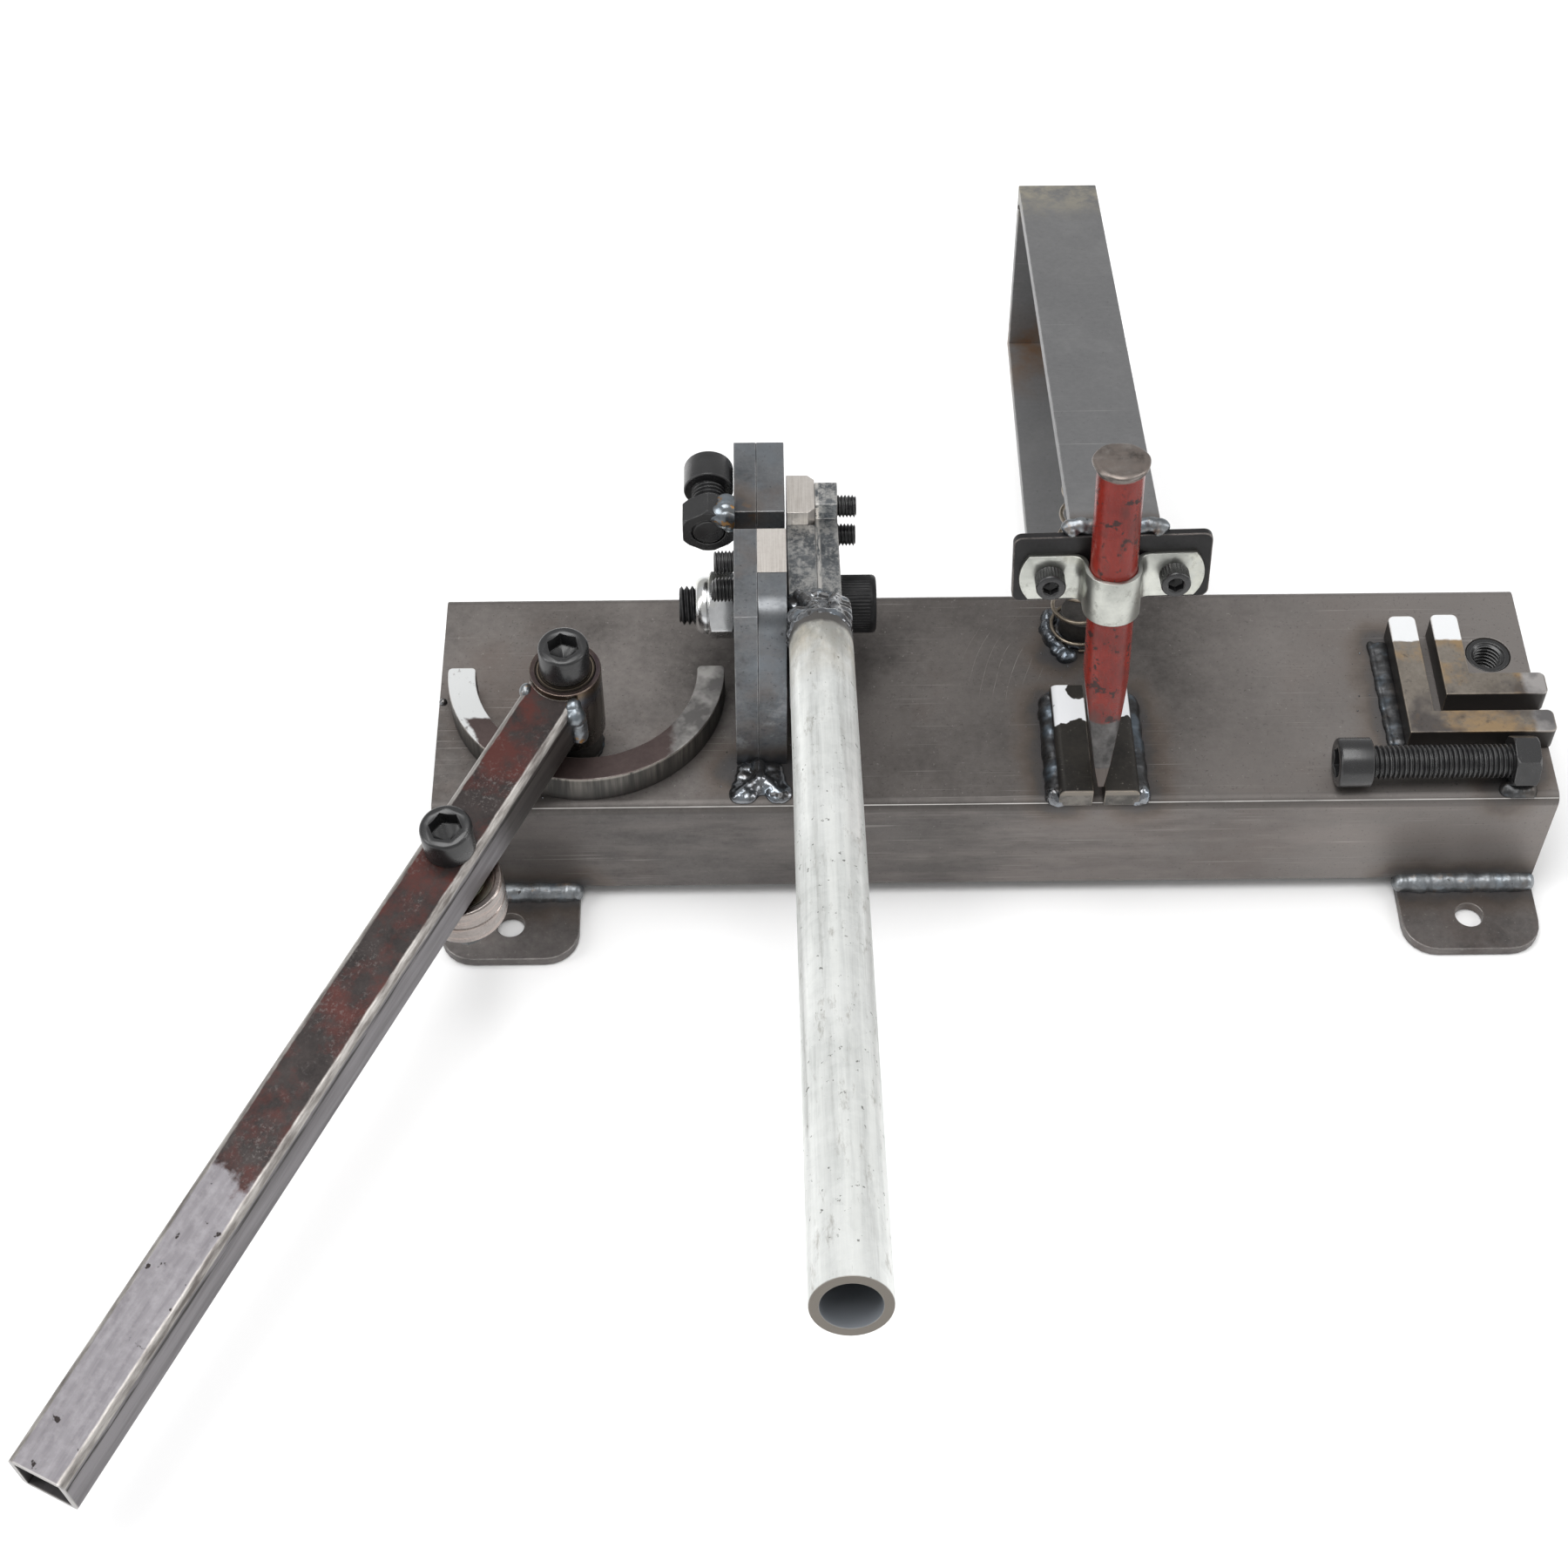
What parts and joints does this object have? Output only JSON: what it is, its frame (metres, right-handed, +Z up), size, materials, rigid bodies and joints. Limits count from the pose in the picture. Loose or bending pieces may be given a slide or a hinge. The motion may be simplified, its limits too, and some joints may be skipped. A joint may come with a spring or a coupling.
{
  "type": "manual ironworker",
  "caption": "Bench ironworker on a steel base tube: swinging bar bender, lever shear with pipe handle, sprung chisel over a slotted die, and angle bending dies.",
  "frame": {"origin": "centre of the base's footprint, on the surface that the foot plates stand on", "axes": "+X to the right along the base tube, +Y to the back where the chisel arm is, +Z up"},
  "size_m": [0.5063, 0.5264, 0.2263],
  "materials": {
    "mill_scale": "rough mill scale",
    "lever_scale": "red-brown mill scale, bare at the far end",
    "frame_plate": "dark cut plate",
    "ground_steel": "ground",
    "black_oxide": "black oxide",
    "zinc": "bright zinc",
    "galvanised": "galvanised",
    "weld_metal": "rippled weld with heat colours",
    "tempered": "brown heat colours",
    "red_paint": "worn red paint over steel",
    "bearing_steel": "polished",
    "spring_wire": "drawn wire"
  },
  "bodies": {
    "frame": {"base_tube": "mill_scale", "foot_plate_left": "mill_scale", "foot_plate_right": "mill_scale", "base_welds": "weld_metal", "bender_former": "lever_scale", "pivot_boss": "mill_scale", "pivot_sleeve": "bearing_steel", "pivot_screw": "black_oxide", "shear_plate_left": "frame_plate", "shear_plate_right": "frame_plate", "fixed_blade": "ground_steel", "fixed_blade_screws": "black_oxide", "shear_pivot_bolt": "black_oxide", "shear_pivot_nut": "zinc", "stop_nut": "black_oxide", "arm_lower_bar": "mill_scale", "spring_post": "mill_scale", "return_spring": "spring_wire", "slot_die_left": "mill_scale", "slot_die_right": "mill_scale", "outer_angle_die": "tempered", "inner_angle_die": "tempered", "tapped_bush": "black_oxide", "bend_stop_nut": "black_oxide"},
    "bender": {"lever_housing": "tempered", "pivot_bush": "bearing_steel", "bender_lever": "lever_scale", "lever_welds": "weld_metal", "roller_screw": "black_oxide", "roller_washer": "zinc", "roller_nut": "black_oxide", "bearing_inner_rings": "bearing_steel", "bearing_balls": "bearing_steel"},
    "upper_roller": {"roller_upper": "bearing_steel"},
    "lower_roller": {"roller_lower": "bearing_steel"},
    "shear_lever": {"lever_plate_left": "frame_plate", "lever_plate_right": "frame_plate", "moving_blade": "ground_steel", "moving_blade_screws": "black_oxide", "handle_pipe": "galvanised", "handle_weld": "weld_metal"},
    "stop_slider": {"stop_screw": "black_oxide"},
    "bend_stop_slider": {"bend_stop_screw": "black_oxide"},
    "chisel_arm": {"arm_upright": "mill_scale", "arm_upper_bar": "mill_scale", "arm_welds": "weld_metal", "clamp_plate": "mill_scale", "chisel_clip": "zinc", "clip_screws": "black_oxide", "chisel": "red_paint"}
  },
  "joints": [
    {"name": "bender_swing", "type": "hinge", "parent": "frame", "child": "bender", "pos_m": [-0.151, -0.0205, 0.08], "axis": [0, 0, 1], "range_deg": [-75, 30]},
    {"name": "upper_roller_spin", "type": "hinge", "parent": "bender", "child": "upper_roller", "pos_m": [-0.18647, -0.08922, 0.06308], "axis": [-0.0334, -0.0648, 0.9973], "continuous": true},
    {"name": "lower_roller_spin", "type": "hinge", "parent": "bender", "child": "lower_roller", "pos_m": [-0.18617, -0.08863, 0.0541], "axis": [-0.0334, -0.0648, 0.9973], "continuous": true},
    {"name": "shear_swing", "type": "hinge", "parent": "frame", "child": "shear_lever", "pos_m": [-0.065, 0.02, 0.0823], "axis": [1, 0, 0], "range_deg": [-20, 32]},
    {"name": "stop_screw_travel", "type": "slide", "parent": "frame", "child": "stop_slider", "axis": [0, -1, 0], "range_m": [-0.004, 0.009]},
    {"name": "bend_stop_travel", "type": "slide", "parent": "frame", "child": "bend_stop_slider", "axis": [1, 0, 0], "range_m": [-0.003, 0.04]},
    {"name": "arm_flex", "type": "hinge", "parent": "frame", "child": "chisel_arm", "pos_m": [0.0345, 0.18495, 0.054], "axis": [1, 0, 0], "range_deg": [0, 1.15], "stiffness_Nm_per_rad": 20, "springref_deg": -5.73, "deforming": ["return_spring"]}
  ]
}
